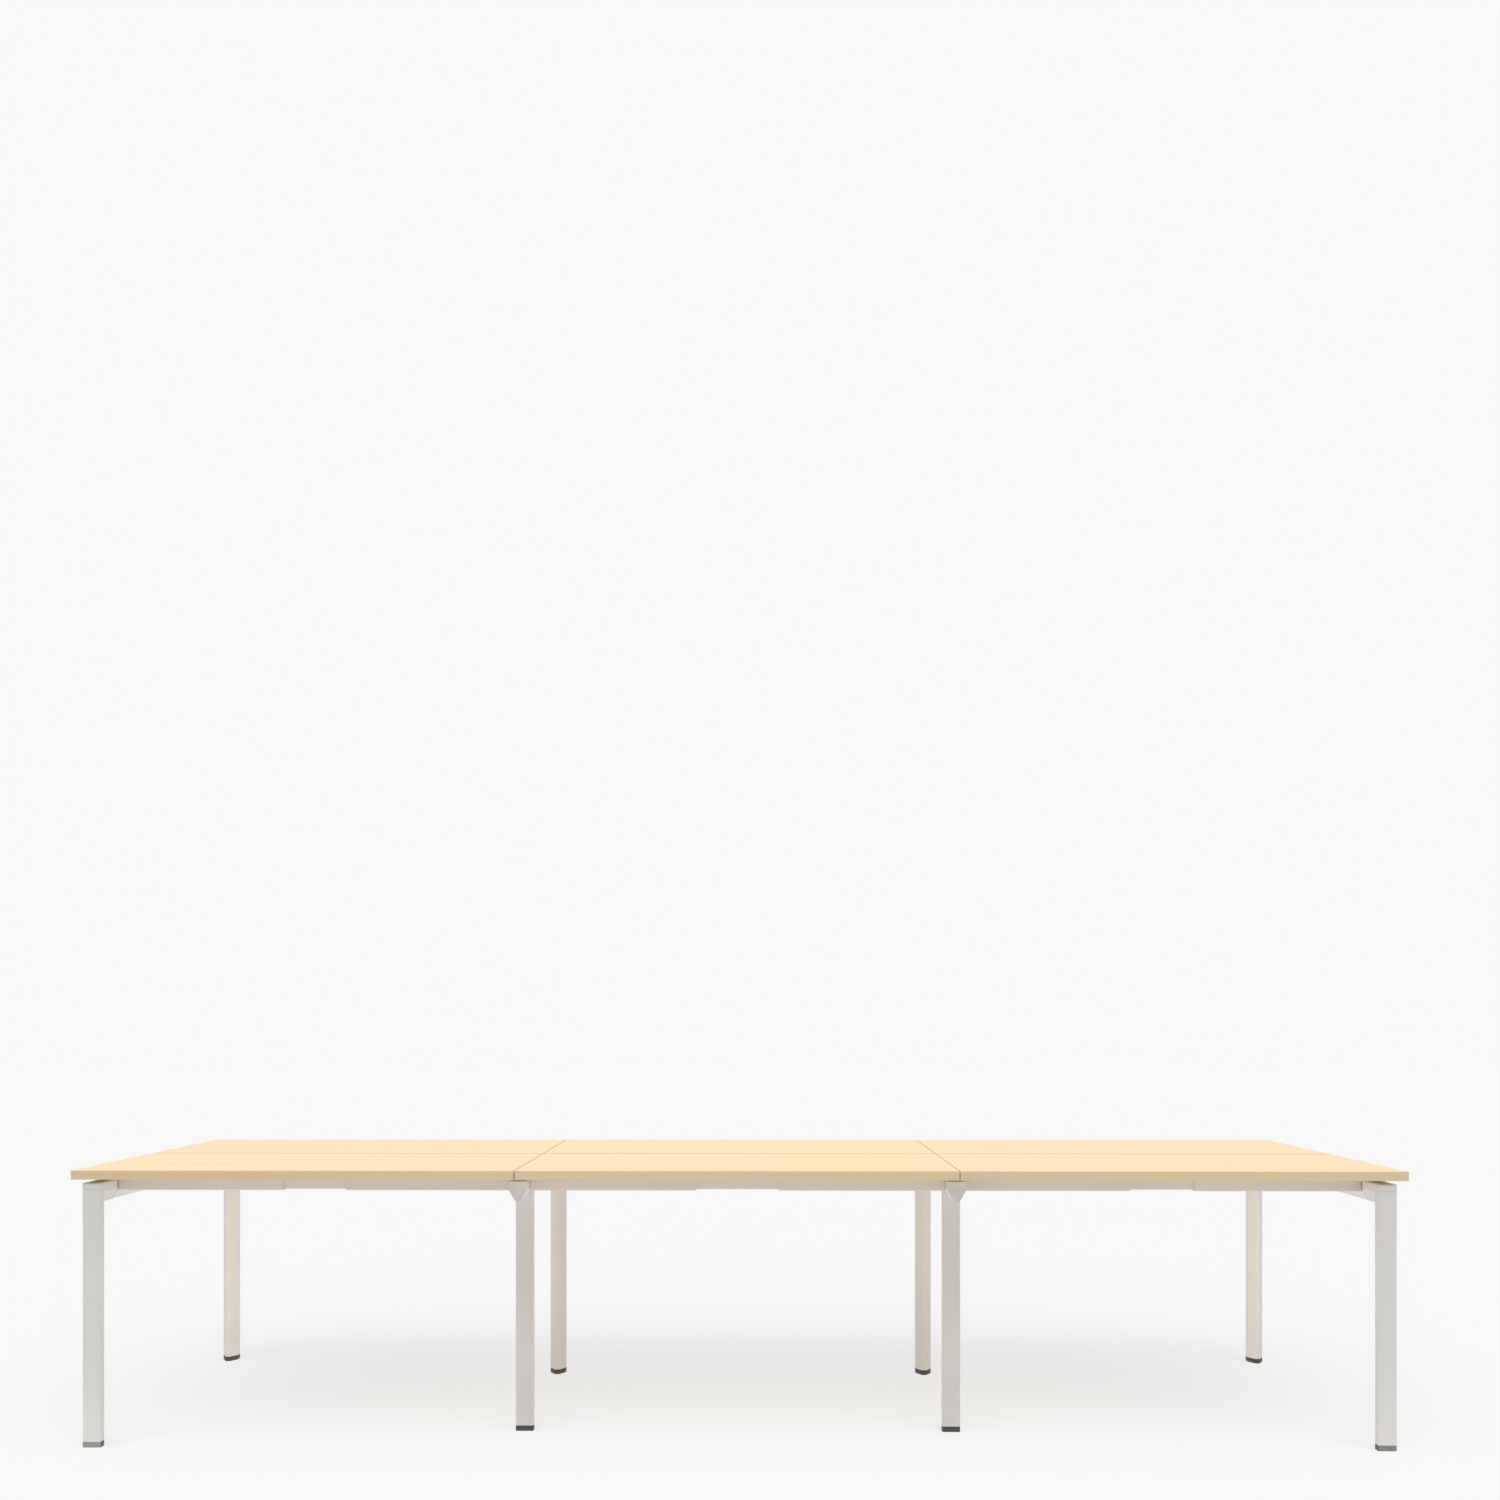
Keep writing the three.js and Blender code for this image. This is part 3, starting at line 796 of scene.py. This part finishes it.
def sleeve(name, ahead):
    """An outer rail tube with its hooked end plate. ahead points from the hook to the open end."""
    low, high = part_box(name)
    inner_low, inner_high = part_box(name.rsplit("_sleeve", 1)[0] + "_inner")
    hook_lip = (high.x - low.x) - SLEEVE_LENGTH
    hooked = low.x + hook_lip if ahead > 0 else high.x - hook_lip
    open_end = high.x if ahead > 0 else low.x
    outline = rectangle((low.y, low.z), (high.y, high.z), RAIL_RADIUS)
    mesh = bmesh.new()
    tube_along_x(mesh, outline, *sorted((hooked + ahead * END_PLATE, open_end)))
    soften(mesh, FINE_EDGE)
    end_hook(mesh, low, high, hooked, ahead)
    piece(f"{name}_tube", mesh, RAIL_COAT_PAINTED_SHADE, replaces=[name])

    inner_face = rectangle((low.y + RAIL_WALL, low.z + RAIL_WALL),
                           (high.y - RAIL_WALL, high.z - RAIL_WALL), GUIDE_RADIUS)
    guide = inset(inner_face, GUIDE_CLEARANCE)
    bore = rectangle((inner_low.y - GUIDE_CLEARANCE, inner_low.z - GUIDE_CLEARANCE),
                     (inner_high.y + GUIDE_CLEARANCE, inner_high.z + GUIDE_CLEARANCE), INNER_RAIL_RADIUS)
    outside, inside = open_end - ahead * GUIDE_RECESS, open_end - ahead * GUIDE_REACH
    mesh = bmesh.new()
    loft(mesh, [[(x, p.x, p.y) for p in edge] for edge, x in (
        (guide, inside), (guide, outside), (bore, outside), (bore, inside))], closed=True)
    piece(f"{name}_guide", mesh, CAP_PLASTIC)

    mesh = bmesh.new()
    for distance in SCREW_PLACES:
        screw_head(mesh, (hooked + ahead * distance, (low.y + high.y) / 2, low.z))
    piece(f"{name}_screws", mesh, ZINC)


def inner_rail(name):
    """The thinner tube that slides in the two sleeves."""
    low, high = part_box(name)
    outline = rectangle((low.y, low.z), (high.y, high.z), INNER_RAIL_RADIUS)
    mesh = bmesh.new()
    tube_along_x(mesh, outline, low.x, high.x)
    soften(mesh, FINE_EDGE)
    piece(f"{name}_tube", mesh, RAIL_COAT_PAINTED_SHADE, replaces=[name])


def centre_rail(name):
    """The wide rail under the long joint, hooked on at both ends and screwed into both rows of tops."""
    low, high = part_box(name)
    start, end = low.x + CENTRE_HOOK, high.x - CENTRE_HOOK
    outline = rectangle((low.y, low.z), (high.y, high.z), RAIL_RADIUS)
    mesh = bmesh.new()
    tube_along_x(mesh, outline, start + END_PLATE, end - END_PLATE)
    end_hook(mesh, low, high, start, 1)
    end_hook(mesh, low, high, end, -1)
    piece(f"{name}_tube", mesh, RAIL_COAT_PAINTED_SHADE, replaces=[name])

    mesh = bmesh.new()
    near, far = SCREW_PLACES
    for x in (start + near, start + far, end - far, end - near):
        for y in (low.y + SCREW_INSET, high.y - SCREW_INSET):
            screw_head(mesh, (x, y, low.z))
    piece(f"{name}_screws", mesh, ZINC)


for bay in BAYS:
    centre_rail(f"rail_{bay}_centre")
    for row in SIDES:
        inner_rail(f"rail_{bay}_{row}_inner")
        for half, ahead in SLEEVES.items():
            sleeve(f"rail_{bay}_{row}_{half}", ahead)


# ---------- stage, light and camera ----------

STAGE_RADIUS = 40.0
PAPER = 0.939
FLOOR_GLOW = 0.687
FLOOR_ALBEDO = 0.190
WORLD_LIGHT = 0.25


def stage_material(name, glow, albedo, one_sided=False):
    """Pale paper that glows a little, so that shadows on it stay soft."""
    material = bpy.data.materials.new(name)
    material.use_nodes = True
    tree = material.node_tree
    surface = tree.nodes["Principled BSDF"]
    surface.inputs["Base Color"].default_value = color(albedo, albedo, albedo)
    surface.inputs["Roughness"].default_value = 1.0
    surface.inputs["Specular IOR Level"].default_value = 0.0
    surface.inputs["Emission Color"].default_value = color(1, 1, 1)
    surface.inputs["Emission Strength"].default_value = glow
    if one_sided:
        clear = tree.nodes.new("ShaderNodeBsdfTransparent")
        facing = tree.nodes.new("ShaderNodeNewGeometry")
        chosen = tree.nodes.new("ShaderNodeMixShader")
        tree.links.new(facing.outputs["Backfacing"], chosen.inputs[0])
        tree.links.new(surface.outputs[0], chosen.inputs[1])
        tree.links.new(clear.outputs[0], chosen.inputs[2])
        tree.links.new(chosen.outputs[0], tree.nodes["Material Output"].inputs[0])
    return material


def stage_object(name, mesh, material):
    """Turns a finished bmesh into a part of the stage."""
    data = bpy.data.meshes.new(name)
    mesh.to_mesh(data)
    mesh.free()
    made = bpy.data.objects.new(name, data)
    bpy.context.scene.collection.objects.link(made)
    data.materials.append(material)
    return made


mesh = bmesh.new()
mesh.faces.new(ring(mesh, [(p.x, p.y, CAD_LOW.z) for p in circle(STAGE_RADIUS, 96)]))
floor = stage_object("floor", mesh, stage_material("floor_paper", FLOOR_GLOW, FLOOR_ALBEDO, one_sided=True))

mesh = bmesh.new()
bmesh.ops.create_icosphere(mesh, subdivisions=4, radius=STAGE_RADIUS * 1.2)
backdrop = stage_object("backdrop", mesh, stage_material("backdrop_paper", PAPER, 0.0))
backdrop.visible_diffuse = False
backdrop.visible_glossy = False
backdrop.visible_transmission = False
backdrop.visible_shadow = False

world = bpy.data.worlds.new("studio")
bpy.context.scene.world = world
world.use_nodes = True
sky = world.node_tree.nodes["Background"]
sky.inputs["Color"].default_value = color(1.0, 1.0, 1.0)
sky.inputs["Strength"].default_value = WORLD_LIGHT


def light(name, kind, receivers, state="INCLUDE"):
    """A light that reaches only the receivers, or everything but them."""
    data = bpy.data.lights.new(name, kind)
    made = bpy.data.objects.new(name, data)
    bpy.context.scene.collection.objects.link(made)
    group = bpy.data.collections.new(f"{name}_receivers")
    for receiver in receivers:
        group.objects.link(receiver)
    for entry in group.collection_objects:
        entry.light_linking.link_state = state
    made.light_linking.receiver_collection = group
    return made


def sun(name, strength, spread, elevation, state):
    """A wide soft light from far away and from the front, for the floor alone or for all the rest."""
    made = light(name, "SUN", [floor], state)
    made.data.energy = strength * math.pi
    made.data.angle = math.radians(spread)
    made.rotation_euler = (math.radians(90 - elevation), 0, 0)


def panel(name, radiance, size, place, tint, receivers):
    """A glowing panel that faces the back and lights only the receivers."""
    made = light(name, "AREA", receivers)
    made.data.shape = "RECTANGLE"
    made.data.size, made.data.size_y = size
    made.data.energy = radiance * math.pi * size[0] * size[1]
    made.data.color = tint
    made.location = place
    made.rotation_euler = (math.radians(90), 0, 0)
    made.visible_glossy = False
    made.visible_camera = False


sun("key", 1.15, 70, 90, "EXCLUDE")
sun("floor_shadow_back", 0.95, 80, 42, "INCLUDE")
sun("floor_shadow_below", 0.45, 100, 80, "INCLUDE")

# Tints of the light that paper and wood throw on the legs and feet
PAPER_LIGHT = (1, 0.99, 0.97)
FOOT_LIGHT = (1, 0.98, 0.98)
PEACH_LIGHT = (1, 0.72, 0.52)
AMBER_LIGHT = (1, 0.42, 0.15)
WOOD_LIGHT = (1, 0.62, 0.33)
HALF_LEG_WIDTH = 0.025
END_LEG_X = -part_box("leg_left_end_front")[0].x - HALF_LEG_WIDTH
FRONT_Y = CAD_LOW.y

uprights = [made for made in bpy.data.objects if made.name.startswith(("leg_", "foot_"))]
for name, x, foot_glow in (("left", -END_LEG_X, 10.5), ("right", END_LEG_X, 7.0)):
    pad = bpy.data.objects[f"foot_{name}_end_front_pad"]
    panel(f"foot_bounce_{name}", foot_glow, (0.35, 0.30), (x, FRONT_Y - 0.20, 0.10), FOOT_LIGHT, [pad])
    panel(f"floor_bounce_{name}", 1.3, (0.35, 0.04), (x, FRONT_Y - 0.20, 0.02), PAPER_LIGHT, uprights)
    panel(f"back_bounce_{name}", 1.6, (0.30, 0.60), (x * 0.86, 0.10, 0.32), PEACH_LIGHT, uprights)
    panel(f"middle_bounce_{name}", 0.25, (0.30, 0.50), (x * 0.34, 0.05, 0.26), AMBER_LIGHT, uprights)
panel("wood_bounce", 0.08, (3.0, 0.40), (0, FRONT_Y + 0.07, 0.36), WOOD_LIGHT, uprights)

CAMERA_HEIGHT = 1.141
CAMERA_STAND_OFF = 4.373
CAMERA_SIDESTEP = 0.0557
CAMERA_TURN = math.atan(0.0112)
CAMERA_LENS = 39.04
CAMERA_SHIFT = (0.0072, 0.1838)
camera_data = bpy.data.cameras.new("camera")
camera_data.lens = CAMERA_LENS
camera_data.sensor_width = 36.0
camera_data.shift_x, camera_data.shift_y = CAMERA_SHIFT
camera_data.clip_end = 5 * STAGE_RADIUS
camera = bpy.data.objects.new("camera", camera_data)
camera.location = (CAMERA_SIDESTEP, CAD_LOW.y - CAMERA_STAND_OFF, CAD_LOW.z + CAMERA_HEIGHT)
camera.rotation_euler = (math.radians(90), 0, CAMERA_TURN)
bpy.context.scene.collection.objects.link(camera)
bpy.context.scene.camera = camera
bpy.context.scene.view_settings.view_transform = "Standard"
